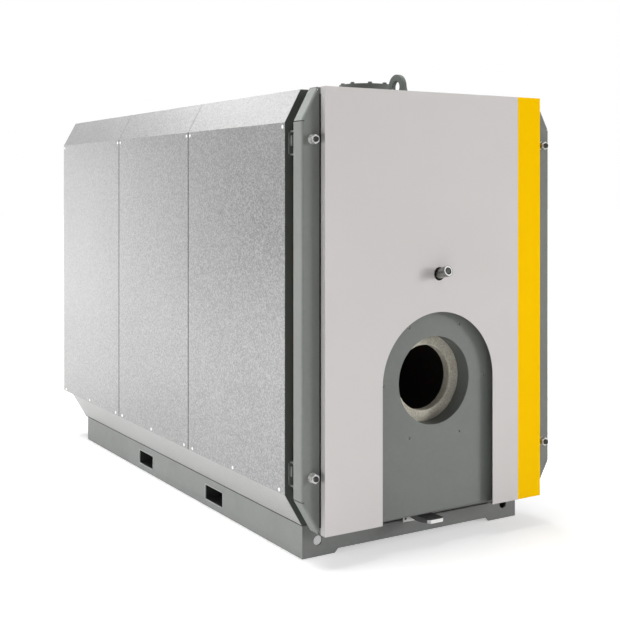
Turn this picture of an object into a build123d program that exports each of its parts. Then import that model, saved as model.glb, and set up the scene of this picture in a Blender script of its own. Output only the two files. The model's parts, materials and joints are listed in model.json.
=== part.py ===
from build123d import *
from math import cos, radians, sin, sqrt
import os

# Industrial hot-water boiler on a steel skid, with a swinging burner door, in millimetres.
# X runs to the right, Y from the front to the back and Z up from the floor.
# Places along Y are counted from the front face of the casing, so the door lies at negative Y.

# Skid
base_side_inset = 2.0
base_back_inset = 28.0
base_height = 145.0
base_plate = 8.0
base_flange = 60.0
base_hole_radius = 21.0
base_hole_inset = 80.0
base_hole_z = 70.0
notch_inset = 168.0
notch_height = 18.0
pocket_width = 200.0
pocket_height = 80.0
pocket_wall = 4.0
pocket_corner = 8.0
pocket_proud = 2.0
pocket_z = 71.0
pocket_centres = (854.0, 1712.0)
saddle_thickness = 12.0
saddle_end_margin = 260.0
saddle_foot_gap = 3.0
saddle_foot_height = 70.0
saddle_horn_inset = 45.0
saddle_horn_height = 420.0

# Bracket that carries the door's weight when it is shut
rest_plate_half_width = 75.0
rest_plate_height = 54.0
rest_plate_drop = 14.0
rest_plate_thickness = 6.0
rest_hole_x = 60.0
rest_hole_height = 15.0
rest_hole_radius = 5.5
tongue_half_width = 45.0
tongue_reach = 160.0
tongue_thickness = 16.0
tongue_drop = 25.0
tongue_corner = 12.0
rib_thickness = 6.0
rib_front_gap = 22.0
rib_depth = 8.0

# Casing of folded sheet, an octagon seen from the front
casing_half_width = 698.5
casing_top = 2035.0
casing_length = 2872.0
roof_bevel_in = 79.5
roof_bevel_drop = 146.0
skirt_bevel_in = 85.5
skirt_bevel_rise = 146.0
sheet = 2.0
panel_shares = (0.337, 0.6633)
seam_gap = 3.0
skirt_lap = 40.0
skirt_foot = 25.0
skirt_joint = 5.0
skirt_joint_depth = 9.0
rear_step = 182.0
frame_width = 35.0
frame_sheet = 3.0
frame_lip = 40.0

# Pressure vessel
plate_setback = 8.0
tube_plate_thickness = 20.0
side_wool = 123.5
top_wool = 60.0
back_wool = 52.0
vessel_rise = 22.0
vessel_wall = 10.0
wool_gap = 2.0
furnace_radius = 330.0
furnace_wall = 14.0
furnace_end_space = 330.0
smoke_tube_radius = 50.8
smoke_tube_wall = 4.0
smoke_tube_sides = 16
tube_pitch_x = 145.0
tube_pitch_z = 125.0
tube_rise = 78.2
tube_side_space = 45.0
tube_top_space = 300.0
weld_gap = 0.2

# Smoke box and flue spigot at the back
smoke_box_depth = 290.0
smoke_box_margin = 40.0
smoke_box_wall = 5.0
smoke_box_corner = 80.0
flue_radius = 175.0
flue_wall = 4.0
flue_root_wall = 2.0
flue_reach = 90.0
flue_hole_gap = 1.0

# Water connections on the roof
flange_radius = 129.0
flange_thickness = 20.0
flange_rise = 65.0
neck_radius = 69.85
neck_wall = 5.0
cover_plate_thickness = 15.0
flange_pcd = 225.0
flange_holes = 8
flange_hole_radius = 7.0
supply_place = 410.0
return_past_seam = 45.0
roof_hole_gap = 3.0

# Lifting lugs on the centre line of the roof
front_lug_place = 140.0
rear_lug_back_space = 108.0
lug_radius = 60.0
lug_hole_radius = 28.0
lug_thickness = 20.0
lug_eye_rise = 50.0
lug_foot_width = 190.0

# Burner door, a folded pan with a refractory lining
door_gap = 74.0
pan_depth = 68.0
pan_plate = 5.0
pan_flange = 3.0
pan_bend = 12.0
pan_slit = 4.0
pan_slit_length = 14.0
lining_inset = 130.0
lining_back = 20.0
recess_depth = 34.0
recess_margin = 18.0
recess_corner = 200.0
burner_bore_radius = 199.0
sleeve_wall = 6.0
throat_front = 62.0
throat_radius = 149.0
throat_outer_radius = 240.0
seal_width = 24.0
seal_gap = 0.3
burner_pcd = 566.0
burner_holes = 6
burner_hole_radius = 6.0

# Light cover over the door, with an arch that leaves the burner clear
cover_side_inset = 92.0
cover_depth = 37.0
cover_sheet = 2.0
cover_drop = 1.4
cover_rise = 1.0
stripe_width = 139.5
arch_half_width = 311.0

# Sight tube through the door
sight_rise = 482.0
sight_tilt = 15.0
sight_outer_radius = 22.5
sight_inner_radius = 15.5
sight_reach = 66.0
sight_collar_radius = 24.0
sight_collar_length = 20.0
sight_hole_radius = 30.0
sight_glass_thickness = 6.0
sight_glass_depth = 8.0

# Hinges on the left and clamps on both sides
low_clamp_rise = 101.0
top_clamp_drop = 77.0
hinge_below_clamp = 11.0
pin_inset = 29.0
pin_front = 50.0
pin_radius = 6.0
pin_head_radius = 10.0
pin_head_height = 6.0
pin_tail = 8.0
lug_fit = 0.2
knuckle_fit = 0.3
lug_plate = 8.0
lug_spread = 46.0
lug_nose_radius = 15.0
bracket_width = 80.0
bracket_back_plate = 6.0
bracket_inset = 18.5
bracket_lug_inset = 27.0
knuckle_radius = 13.0
knuckle_inner = 26.0
knuckle_play = 1.0
tab_thickness = 17.5
clamp_inset = 50.5
block_half_width = 25.0
block_half_height = 22.0
block_front = 20.0
stud_radius = 12.0
stud_back = 30.0
stud_front = 180.0
stud_hole_gap = 1.0
nut_across_flats = 36.0
nut_height = 24.0
washer_radius = 21.0
washer_thickness = 6.0
thread_gap = 0.3

# Places that follow from the sizes above
door_back = -door_gap
door_face = door_back - pan_depth
pan_floor = door_face + pan_plate
cover_face = door_face - cover_depth
low_bend_z = base_height + skirt_bevel_rise
top_bend_z = casing_top - roof_bevel_drop
roof_half_width = casing_half_width - roof_bevel_in
foot_half_width = casing_half_width - skirt_bevel_in
step_y = casing_length - rear_step
panel_seams = [casing_length * share for share in panel_shares]
base_half_width = foot_half_width - base_side_inset
base_length = step_y - base_back_inset
base_hole_x = base_half_width - base_hole_inset
notch_half_width = base_half_width - notch_inset
saddle_half_width = foot_half_width - skirt_foot - saddle_foot_gap
tongue_top = base_height - tongue_drop
tongue_bottom = tongue_top - tongue_thickness
vessel_radius = casing_half_width - side_wool
furnace_z = base_height + vessel_rise + vessel_radius
vessel_upper_z = casing_top - top_wool - vessel_radius
plate_back = plate_setback + tube_plate_thickness
smoke_box_back = casing_length - sheet - back_wool
smoke_box_front = smoke_box_back - smoke_box_depth
vessel_back = smoke_box_front - tube_plate_thickness
furnace_back = vessel_back - furnace_end_space - tube_plate_thickness
lowest_row_z = furnace_z + furnace_radius + furnace_wall + tube_rise + smoke_tube_radius
tube_reach = vessel_radius - vessel_wall - tube_side_space - smoke_tube_radius
tube_top_z = casing_top - top_wool - vessel_wall - tube_top_space - smoke_tube_radius
tube_rows = int((tube_top_z - lowest_row_z) // tube_pitch_z) + 1
top_row_z = lowest_row_z + (tube_rows - 1) * tube_pitch_z
flange_top = casing_top + flange_rise
connection_places = (supply_place, panel_seams[-1] + return_past_seam)
lug_places = (front_lug_place, vessel_back - rear_lug_back_space)
lug_eye_z = casing_top + lug_eye_rise
cover_half_width = casing_half_width - cover_side_inset
cover_bottom = base_height - cover_drop
cover_top = casing_top + cover_rise
sight_z = furnace_z + sight_rise
clamp_heights = (low_bend_z + low_clamp_rise, top_bend_z - top_clamp_drop)
hinge_heights = [z - hinge_below_clamp for z in clamp_heights]
pin_x = casing_half_width - pin_inset
bracket_edge_x = casing_half_width - bracket_inset
bracket_inner_x = bracket_edge_x - bracket_width
bracket_lug_x = casing_half_width - bracket_lug_inset
tab_inner_x = casing_half_width - pan_flange - tab_thickness
tab_middle_x = tab_inner_x + tab_thickness / 2
clamp_x = casing_half_width - clamp_inset


def front_view(y):
    """Work plane facing the front at depth y, with its local Y along the boiler's Z."""
    return Plane(origin=(0, y, 0), x_dir=(1, 0, 0), z_dir=(0, -1, 0))


def side_view(x):
    """Work plane facing the right side at x, with its local X along Y."""
    return Plane(origin=(x, 0, 0), x_dir=(0, 1, 0), z_dir=(1, 0, 0))


def prism(outline, y_front, y_back):
    """Solid with a front-view outline, from y_front to y_back."""
    return extrude(front_view(y_front) * outline, amount=y_back - y_front, dir=(0, 1, 0))


def block(x_range, y_range, z_range):
    """Rectangular solid between three pairs of limits."""
    sizes = [high - low for low, high in (x_range, y_range, z_range)]
    middle = [(high + low) / 2 for low, high in (x_range, y_range, z_range)]
    return Pos(*middle) * Box(*sizes)


def disc(radius, x, z, y_front, y_back):
    """Round solid along Y."""
    return prism(Pos(x, z) * Circle(radius), y_front, y_back)


def octagon(inset=0):
    """Front outline of the casing, moved inwards by the inset."""
    right = [
        (foot_half_width, base_height),
        (casing_half_width, low_bend_z),
        (casing_half_width, top_bend_z),
        (roof_half_width, casing_top),
    ]
    left = [(-x, z) for x, z in reversed(right)]
    outline = Polygon(*right, *left, align=None)
    return offset(outline, amount=-inset, kind=Kind.INTERSECTION) if inset else outline


def band(x_range, z_range):
    """Rectangle in the front view, used to keep one side of an outline."""
    (x_low, x_high), (z_low, z_high) = x_range, z_range
    middle = Pos((x_low + x_high) / 2, (z_low + z_high) / 2)
    return middle * Rectangle(x_high - x_low, z_high - z_low)


def obround(radius):
    """Front outline of the vessel: two half circles joined by straight sides."""
    centre_z = (furnace_z + vessel_upper_z) / 2
    spread = vessel_upper_z - furnace_z
    return Pos(0, centre_z) * SlotCenterToCenter(spread, 2 * radius, rotation=90)


def mirrored(piece):
    """The same piece on the other side of the centre plane."""
    return mirror(piece, about=Plane.YZ)


def pocket_outline(growth=0):
    """Side-view outline of a fork pocket tube."""
    size = (pocket_width + 2 * growth, pocket_height + 2 * growth)
    return RectangleRounded(*size, pocket_corner + growth)


def side_beam():
    """Channel with its web outside, its flanges cut back at both ends for the cross beams."""
    web_x = base_half_width - base_plate
    flange_x = base_half_width - base_flange
    beam = block((flange_x, base_half_width), (0, base_length), (0, base_height))
    beam -= block((flange_x, web_x), (0, base_length), (base_plate, base_height - base_plate))
    for y in (0, base_length - base_plate):
        beam -= block((flange_x, web_x), (y, y + base_plate), (0, base_height))
    for y in pocket_centres:
        hole = side_view(0) * (Pos(y, pocket_z) * pocket_outline())
        beam -= extrude(hole, amount=base_half_width, dir=(1, 0, 0))
    return beam


def cross_beam():
    """Front beam: a plate with a top flange, a hole near each end and a notch below."""
    half = base_half_width - base_plate
    flange_half = base_half_width - base_flange
    plate = block((-half, half), (0, base_plate), (0, base_height))
    flange_z = (base_height - base_plate, base_height)
    plate += block((-flange_half, flange_half), (base_plate, base_flange), flange_z)
    shoulder = notch_half_width - notch_height
    notch = Polygon(
        (-notch_half_width, 0),
        (notch_half_width, 0),
        (shoulder, notch_height),
        (-shoulder, notch_height),
        align=None,
    )
    plate -= prism(notch, 0, base_plate)
    for x in (-base_hole_x, base_hole_x):
        plate -= disc(base_hole_radius, x, base_hole_z, 0, base_plate)
    return plate


def fork_pocket(y):
    """Rectangular tube across the skid, open at both ends, a little proud of the side beams."""
    tube = pocket_outline() - pocket_outline(-pocket_wall)
    half_length = base_half_width + pocket_proud
    return extrude(side_view(0) * (Pos(y, pocket_z) * tube), amount=half_length, both=True)


def saddles():
    """Three plates across the skid, hollowed out to carry the vessel."""
    low = base_height
    foot = low + saddle_foot_height
    horn = low + saddle_horn_height
    horn_x = saddle_half_width - saddle_horn_inset
    outline = Polygon(
        (-saddle_half_width, low),
        (saddle_half_width, low),
        (saddle_half_width, foot),
        (horn_x, horn),
        (-horn_x, horn),
        (-saddle_half_width, foot),
        align=None,
    )
    outline -= obround(vessel_radius)
    first = saddle_end_margin
    last = base_length - saddle_end_margin
    places = (first, (first + last) / 2, last)
    return [prism(outline, y, y + saddle_thickness) for y in places]


def door_rest():
    """Tongue on a back plate with two shallow ribs, bolted to the front beam under the door."""
    top = base_height - rest_plate_drop
    low = top - rest_plate_height
    half = rest_plate_half_width
    plate = block((-half, half), (-rest_plate_thickness, 0), (low, top))
    hole_z = low + rest_hole_height
    for x in (-rest_hole_x, rest_hole_x):
        plate -= disc(rest_hole_radius, x, hole_z, -rest_plate_thickness, 0)
    tongue = block(
        (-tongue_half_width, tongue_half_width),
        (-tongue_reach, -rest_plate_thickness),
        (tongue_bottom, tongue_top),
    )
    corners = tongue.edges().filter_by(Axis.Z).group_by(Axis.Y)[0]
    rest = plate + chamfer(corners, tongue_corner)
    for x in (-tongue_half_width, tongue_half_width - rib_thickness):
        rest += door_rest_rib(x)
    return rest


def door_rest_rib(x):
    """Rib under the edge of the tongue, with an arc as its lower edge."""
    back = (-rest_plate_thickness, tongue_bottom)
    front = (rib_front_gap - tongue_reach, tongue_bottom)
    lowest = ((back[0] + front[0]) / 2, tongue_bottom - rib_depth)
    outline = make_face(ThreePointArc(back, lowest, front) + Line(front, back))
    return extrude(side_view(x) * outline, amount=rib_thickness, dir=(1, 0, 0))


def connection_cut(radius, y):
    """Upright cylinder through the roof and the top of the vessel."""
    top = flange_top
    return Pos(0, y, (vessel_upper_z + top) / 2) * Cylinder(radius, top - vessel_upper_z)


def vessel_shell():
    """Outer wall of the vessel, open where the water connections join it."""
    wall = obround(vessel_radius) - obround(vessel_radius - vessel_wall)
    shell = prism(wall, plate_back, vessel_back)
    for y in connection_places:
        shell -= connection_cut(neck_radius - neck_wall, y)
    return shell


def tube_places():
    """Centres of the smoke tubes: as many in each row as fit, every other row half a pitch over."""
    places = []
    for row in range(tube_rows):
        z = lowest_row_z + row * tube_pitch_z
        rise = max(z - vessel_upper_z, 0)
        room = sqrt(tube_reach**2 - rise**2)
        odd = row % 2
        count = 2 * int((room + (1 - odd) * tube_pitch_x / 2) // tube_pitch_x) + odd
        for column in range(count):
            places.append(((column - (count - 1) / 2) * tube_pitch_x, z))
    return places


def field_half_width():
    """Half width of the field of smoke tubes."""
    return max(x for x, z in tube_places()) + smoke_tube_radius


def tube_section(radius):
    """Outline of a smoke tube, drawn with flat sides."""
    return RegularPolygon(radius, smoke_tube_sides)


def tube_holes():
    """Outlines of the holes that the smoke tubes are set in."""
    hole = tube_section(smoke_tube_radius + weld_gap)
    return [Pos(x, z) * hole for x, z in tube_places()]


def front_tube_plate():
    """Octagonal front plate with the furnace mouth and the smoke tube holes."""
    outline = octagon(sheet + frame_sheet)
    outline -= Pos(0, furnace_z) * Circle(furnace_radius + furnace_wall + weld_gap)
    outline -= tube_holes()
    return prism(outline, plate_setback, plate_back)


def rear_tube_plate():
    """Back end of the vessel, with the smoke tube holes alone."""
    outline = obround(vessel_radius) - tube_holes()
    return prism(outline, vessel_back, smoke_box_front)


def furnace_tube():
    """Combustion chamber, open at the front."""
    centre = Pos(0, furnace_z)
    wall = centre * Circle(furnace_radius + furnace_wall) - centre * Circle(furnace_radius)
    return prism(wall, plate_setback, furnace_back)


def furnace_end():
    """Round plate that closes the back of the combustion chamber."""
    back = furnace_back + tube_plate_thickness
    return disc(furnace_radius + furnace_wall, 0, furnace_z, furnace_back, back)


def smoke_tubes():
    """Tubes from the front plate to the rear plate."""
    wall = tube_section(smoke_tube_radius) - tube_section(smoke_tube_radius - smoke_tube_wall)
    return [prism(Pos(x, z) * wall, plate_setback, smoke_box_front) for x, z in tube_places()]


def smoke_box_outline(inset=0):
    """Front-view outline of the smoke box round all the smoke tubes."""
    low = lowest_row_z - smoke_tube_radius - smoke_box_margin
    high = top_row_z + smoke_tube_radius + smoke_box_margin
    width = 2 * (field_half_width() + smoke_box_margin - inset)
    centre = Pos(0, (low + high) / 2)
    return centre * RectangleRounded(width, high - low - 2 * inset, smoke_box_corner - inset)


def smoke_box():
    """Pan behind the rear plate, with a hole for the flue spigot."""
    inside_back = smoke_box_back - smoke_box_wall
    pan = prism(smoke_box_outline(), smoke_box_front, smoke_box_back)
    pan -= prism(smoke_box_outline(smoke_box_wall), smoke_box_front, inside_back)
    return pan - disc(flue_radius + flue_root_wall, 0, flue_z(), inside_back, smoke_box_back)


def flue_z():
    """Height of the flue spigot, in the middle of the smoke box."""
    return (lowest_row_z + top_row_z) / 2


def flue_spigot():
    """Round spigot through the rear panel, with a thicker root inside the casing."""
    front = smoke_box_back - smoke_box_wall
    back = casing_length + flue_reach
    spigot = disc(flue_radius, 0, flue_z(), front, back)
    spigot += disc(flue_radius + flue_root_wall, 0, flue_z(), front, casing_length - sheet)
    return spigot - disc(flue_radius - flue_wall, 0, flue_z(), front, back)


def water_flange(y):
    """Neck welded to the top of the vessel, with a drilled flange."""
    height = flange_top - vessel_upper_z
    neck = Pos(0, y, vessel_upper_z + height / 2) * Cylinder(neck_radius, height)
    neck -= prism(obround(vessel_radius), plate_back, vessel_back)
    ring_z = flange_top - flange_thickness / 2
    flange = neck + Pos(0, y, ring_z) * Cylinder(flange_radius, flange_thickness)
    flange -= connection_cut(neck_radius - neck_wall, y)
    return flange - flange_bolt_holes(y, flange_top - flange_thickness, flange_top)


def flange_bolt_holes(y, low, high):
    """Cylinders on the bolt circle, astride the centre lines."""
    start = 180 / flange_holes
    circle = PolarLocations(flange_pcd / 2, flange_holes, start_angle=start)
    tools = [Cylinder(flange_hole_radius, high - low).moved(place) for place in circle]
    return [Pos(0, y, (low + high) / 2) * tool for tool in tools]


def flange_cover(y):
    """Blind cover that closes a water flange."""
    top = flange_top + cover_plate_thickness
    plate = Pos(0, y, (flange_top + top) / 2) * Cylinder(flange_radius, cover_plate_thickness)
    return plate - flange_bolt_holes(y, flange_top, top)


def lifting_lug(y):
    """Upright plate with a round eye, standing on the top of the vessel."""
    foot_z = vessel_upper_z + vessel_radius - sheet
    foot = lug_foot_width / 2
    eye = Pos(y, lug_eye_z) * Circle(lug_radius)
    web = Polygon(
        (y - foot, foot_z),
        (y + foot, foot_z),
        (y + lug_radius, lug_eye_z),
        (y - lug_radius, lug_eye_z),
        align=None,
    )
    outline = eye + web - Pos(y, lug_eye_z) * Circle(lug_hole_radius)
    lug = extrude(side_view(0) * outline, amount=lug_thickness / 2, both=True)
    return lug - prism(obround(vessel_radius), plate_back, vessel_back)


def casing_strip(x_range, z_range, y_range):
    """Part of the casing's sheet that lies in one band of the front view."""
    skin = octagon() - octagon(sheet)
    return prism(skin & band(x_range, z_range), *y_range)


def panel_spans():
    """Front and back of each of the three casing panels along Y, with a gap at each seam."""
    half = seam_gap / 2
    fronts = (0, *[seam + half for seam in panel_seams])
    backs = (*[seam - half for seam in panel_seams], casing_length - sheet)
    return list(zip(fronts, backs))


def side_panel(y_range):
    """Left side sheet with the bevel up to the roof."""
    far = -2 * casing_half_width
    return casing_strip((far, -roof_half_width), (low_bend_z, casing_top), y_range)


def roof_panel(y_range):
    """Roof sheet between the bevels, cut out for what passes through it."""
    span = (-roof_half_width, roof_half_width)
    roof = casing_strip(span, (top_bend_z, casing_top), y_range)
    for y in connection_places:
        roof -= connection_cut(neck_radius + roof_hole_gap, y)
    half_x = lug_thickness / 2 + roof_hole_gap
    half_y = lug_foot_width / 2 + roof_hole_gap
    for y in lug_places:
        roof -= block((-half_x, half_x), (y - half_y, y + half_y), (top_bend_z, casing_top))
    return roof


def side_skirt():
    """Left bevelled sheet under the side panels, with a foot on the skid and a lap above.

    The foot stands back behind the sheet, which leaves a narrow joint above the side beam.
    """
    far = -2 * casing_half_width
    behind_frame = (frame_lip, step_y)
    foot_z = base_height + skirt_joint
    foot_inner_x = skirt_foot - foot_half_width
    foot_outer_x = skirt_joint_depth - foot_half_width
    skirt = casing_strip((far, 0), (foot_z, low_bend_z), (0, step_y))
    skirt += prism(octagon() & band((far, foot_inner_x), (foot_z, foot_z + sheet)), *behind_frame)
    skirt += block((foot_outer_x, foot_inner_x), behind_frame, (base_height, foot_z))
    lap = octagon(sheet) - octagon(2 * sheet)
    lap &= band((far, 0), (low_bend_z - skirt_foot, low_bend_z + skirt_lap))
    return skirt + prism(lap, *behind_frame)


def rear_panel():
    """Back wall of the casing, with a hole for the flue spigot."""
    far = 2 * casing_half_width
    wall = octagon() & band((-far, far), (low_bend_z, casing_top))
    wall -= Pos(0, flue_z()) * Circle(flue_radius + flue_root_wall + flue_hole_gap)
    return prism(wall, casing_length - sheet, casing_length)


def rear_underside():
    """Sheet that closes the step below the overhanging back of the casing."""
    far = 2 * casing_half_width
    wall = octagon() & band((-far, far), (base_height, low_bend_z))
    step = prism(wall, step_y, step_y + sheet)
    floor = octagon(sheet) & band((-far, far), (low_bend_z, low_bend_z + sheet))
    return step + prism(floor, step_y, casing_length - sheet)


def front_frame():
    """Angle ring behind the door: a face round the opening and a lip under the panels."""
    face = prism(octagon(sheet) - octagon(sheet + frame_width), 0, frame_sheet)
    lip = octagon(sheet) - octagon(sheet + frame_sheet)
    return face + prism(lip, frame_sheet, frame_lip)


def insulation():
    """Mineral wool that fills the casing round the vessel."""
    inset = 2 * sheet + frame_sheet
    core = octagon(inset)
    far = 2 * casing_half_width
    upper = core & band((-far, far), (low_bend_z + sheet, casing_top))
    wool = prism(core, plate_back, step_y) + prism(upper, step_y, casing_length - sheet)
    around_vessel = obround(vessel_radius + wool_gap)
    wool -= prism(around_vessel, plate_back, smoke_box_front)
    wool -= prism(smoke_box_outline(), smoke_box_front, smoke_box_back)
    wool -= disc(flue_radius + flue_root_wall, 0, flue_z(), smoke_box_front, casing_length)
    for y in connection_places:
        wool -= connection_cut(neck_radius, y)
    half_x = lug_thickness / 2
    for y in lug_places:
        half_y = lug_foot_width / 2
        wool -= block((-half_x, half_x), (y - half_y, y + half_y), (vessel_upper_z, casing_top))
    for saddle in saddles():
        box = saddle.bounding_box()
        y_range = (box.min.Y, box.max.Y)
        wool -= block((box.min.X, box.max.X), y_range, (box.min.Z, box.max.Z))
    return wool


def hinge_bracket(z):
    """Left bracket: two lugs for the pin, a back plate and a threaded block for the clamp."""
    nose = Pos(-pin_x, -pin_front) * Circle(lug_nose_radius)
    root = Polygon(
        (-frame_inner_x(), plate_setback),
        (-bracket_inner_x, plate_setback),
        (-bracket_inner_x, -bracket_back_plate),
        (-pin_x, -pin_front - lug_nose_radius),
        (-bracket_lug_x, -pin_front),
        (-bracket_lug_x, 0),
        (-frame_inner_x(), 0),
        align=None,
    )
    outline = nose + root - Pos(-pin_x, -pin_front) * Circle(pin_radius + lug_fit)
    bracket = block(
        (-bracket_edge_x, -bracket_inner_x), (-bracket_back_plate, 0), (-lug_spread, lug_spread)
    )
    for side in (-1, 1):
        low = lug_spread if side > 0 else -lug_spread - lug_plate
        bracket += Pos(0, 0, low) * extrude(outline, amount=lug_plate, dir=(0, 0, 1))
    bracket += block(
        (-clamp_x - block_half_width, -clamp_x + block_half_width),
        (-block_front, -bracket_back_plate),
        (hinge_below_clamp - block_half_height, hinge_below_clamp + block_half_height),
    )
    return Pos(0, 0, z) * bracket


def frame_inner_x():
    """Half width of the opening inside the front frame's face."""
    return casing_half_width - sheet - frame_width


def hinge_pin(z):
    """Headed pin through both lugs of a left bracket."""
    reach = lug_spread + lug_plate
    shank = Cylinder(pin_radius, 2 * reach + pin_tail)
    head = Pos(0, 0, reach + pin_head_height / 2) * Cylinder(pin_head_radius, pin_head_height)
    return Pos(-pin_x, -pin_front, z) * (Pos(0, 0, -pin_tail / 2) * shank + head)


def hinge_knuckle(z):
    """Two rings round the pin on arms from a tab inside the door pan."""
    reach = lug_spread - knuckle_play
    edge = casing_half_width - pan_flange
    tab = block((-edge, -tab_inner_x), (pan_floor, door_back), (-reach, reach))
    arm = Pos(-pin_x, -pin_front) * Circle(knuckle_radius)
    arm += Polygon(
        (-tab_middle_x, door_back),
        (-tab_inner_x, door_back),
        (-pin_x, -pin_front - knuckle_radius),
        (-pin_x - knuckle_radius, -pin_front),
        align=None,
    )
    arm -= Pos(-pin_x, -pin_front) * Circle(pin_radius + knuckle_fit)
    for low in (-reach, knuckle_inner):
        tab += Pos(0, 0, low) * extrude(arm, amount=reach - knuckle_inner, dir=(0, 0, 1))
    return Pos(0, 0, z) * tab


def clamp_places():
    """The four clamp bolts, as x and z."""
    return [(x, z) for z in clamp_heights for x in (-clamp_x, clamp_x)]


def clamp_stud(x, z):
    """Stud that goes through the door to the bracket behind it."""
    return disc(stud_radius, x, z, -stud_front, -stud_back)


def clamp_nut(x, z):
    """Hexagon nut on a washer, on the door's face."""
    washer_front = door_face - washer_thickness
    nut = Pos(x, z) * RegularPolygon(nut_across_flats / 2, 6, major_radius=False)
    piece = prism(nut, washer_front - nut_height, washer_front)
    piece += disc(washer_radius, x, z, washer_front, door_face)
    return piece - disc(stud_radius + thread_gap, x, z, -stud_front, door_face)


def door_pan():
    """Folded pan with rounded front edges, the burner bore and its bolt circle."""
    pan = prism(octagon(), door_face, door_back)
    pan = fillet(pan.faces().sort_by(Axis.Y)[0].edges(), pan_bend)
    pan -= prism(octagon(pan_flange), pan_floor, door_back)
    pan -= disc(burner_bore_radius, 0, furnace_z, door_face, pan_floor)
    for place in PolarLocations(burner_pcd / 2, burner_holes):
        hole = (place.position.X, furnace_z + place.position.Y)
        pan -= disc(burner_hole_radius, *hole, door_face, pan_floor)
    for x, z in clamp_places():
        pan -= disc(stud_radius + stud_hole_gap, x, z, door_face, pan_floor)
    pan -= corner_slits()
    return pan - sight_cylinder(sight_outer_radius + weld_gap, sight_reach)


def corner_slits():
    """Slots that part the folded flanges of the door pan, from its back edge past the bend."""
    half = pan_slit / 2
    depth = (door_face, door_back)
    slits = []
    for side in (-1, 1):
        edge = side * casing_half_width
        across = (edge - pan_slit_length, edge + pan_slit_length)
        for z in (low_bend_z, top_bend_z):
            slits.append(block(across, depth, (z - half, z + half)))
        for x, z in ((foot_half_width, base_height), (roof_half_width, casing_top)):
            upright = (z - pan_slit_length, z + pan_slit_length)
            slits.append(block((side * x - half, side * x + half), depth, upright))
    return slits


def recess_outline(growth=0):
    """Outline of the turning chamber round the furnace mouth and all smoke tubes."""
    low = furnace_z - furnace_radius - recess_margin - growth
    high = top_row_z + smoke_tube_radius + recess_margin + growth
    width = 2 * (field_half_width() + recess_margin + growth)
    corner = recess_corner + growth
    return Pos(0, (low + high) / 2) * RectangleRounded(width, high - low, corner)


def door_lining():
    """Refractory slab with a turning chamber, stepped for the sleeve and the throat ring."""
    recess_floor = -lining_back - recess_depth
    slab = prism(octagon(lining_inset), pan_floor, -lining_back)
    slab -= prism(recess_outline(), recess_floor, -lining_back)
    slab -= disc(burner_bore_radius + sleeve_wall, 0, furnace_z, pan_floor, -throat_front)
    slab -= disc(throat_outer_radius, 0, furnace_z, -throat_front, recess_floor)
    return slab - sight_cylinder(sight_outer_radius + weld_gap, sight_reach)


def burner_sleeve():
    """Steel sleeve from the door plate to the throat ring."""
    radius = burner_bore_radius
    sleeve = disc(radius + sleeve_wall, 0, furnace_z, pan_floor, -throat_front)
    return sleeve - disc(radius, 0, furnace_z, pan_floor, -throat_front)


def throat_ring():
    """Refractory ring that the burner's blast tube passes through."""
    ring = disc(throat_outer_radius, 0, furnace_z, -throat_front, -lining_back)
    return ring - disc(throat_radius, 0, furnace_z, -throat_front, -lining_back)


def door_seal():
    """Square rope round the turning chamber, pressed against the front plate."""
    gap_to_chamber = recess_margin
    rope = recess_outline(gap_to_chamber + seal_width) - recess_outline(gap_to_chamber)
    return prism(rope, -lining_back, plate_setback - seal_gap)


def cover_outline(x_low, x_high, inset=0):
    """Upright rectangle of the door cover between two places along X."""
    z_range = (cover_bottom + inset, cover_top - inset)
    return band((x_low + inset, x_high - inset), z_range)


def arch_outline(growth=0):
    """Opening for the burner: straight sides from the bottom edge and a half circle above."""
    half = arch_half_width + growth
    arch = Pos(0, furnace_z) * Circle(half)
    return arch + band((-half, half), (cover_bottom, furnace_z))


def cover_pan(x_low, x_high):
    """Folded sheet pan in front of the door plate."""
    pan = prism(cover_outline(x_low, x_high), cover_face, door_face)
    inside = cover_outline(x_low, x_high, cover_sheet)
    return pan - prism(inside, cover_face + cover_sheet, door_face)


def front_cover():
    """Wide part of the cover, with the burner arch and the hole for the sight tube."""
    pan = cover_pan(-cover_half_width, cover_half_width - stripe_width)
    pan -= prism(arch_outline(), cover_face, door_face)
    return pan - disc(sight_hole_radius, 0, sight_z, cover_face, cover_face + cover_sheet)


def cover_stripe():
    """Narrow part of the cover at the right edge."""
    return cover_pan(cover_half_width - stripe_width, cover_half_width)


def sight_axis(along):
    """Plane across the sight tube, at a distance in front of the cover along its axis."""
    tilt = radians(sight_tilt)
    centre = (0, cover_face - along * cos(tilt), sight_z + along * sin(tilt))
    return Plane(origin=centre, x_dir=(1, 0, 0), z_dir=(0, -cos(tilt), sin(tilt)))


def sight_cylinder(radius, front, length=0):
    """Cylinder on the sight tube's axis, back from a distance in front of the cover."""
    through = length or front - (cover_face + lining_back) / cos(radians(sight_tilt))
    return extrude(sight_axis(front) * Circle(radius), amount=-through)


def sight_tube():
    """Tilted tube through cover, plate and lining, with a collar at its front end."""
    tube = sight_cylinder(sight_outer_radius, sight_reach)
    tube += sight_cylinder(sight_collar_radius, sight_reach, sight_collar_length)
    tube -= sight_cylinder(sight_inner_radius, sight_reach)
    tube -= sight_cylinder(sight_outer_radius, sight_reach, sight_glass_depth)
    half = 2 * sight_outer_radius
    recess_floor = -lining_back - recess_depth
    behind = (recess_floor, 0)
    return tube - block((-half, half), behind, (sight_z - cover_top / 2, cover_top))


def sight_glass():
    """Round glass that rests in the front end of the sight tube."""
    front = sight_reach - sight_glass_depth + sight_glass_thickness
    return sight_cylinder(sight_outer_radius - weld_gap, front, sight_glass_thickness)


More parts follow.
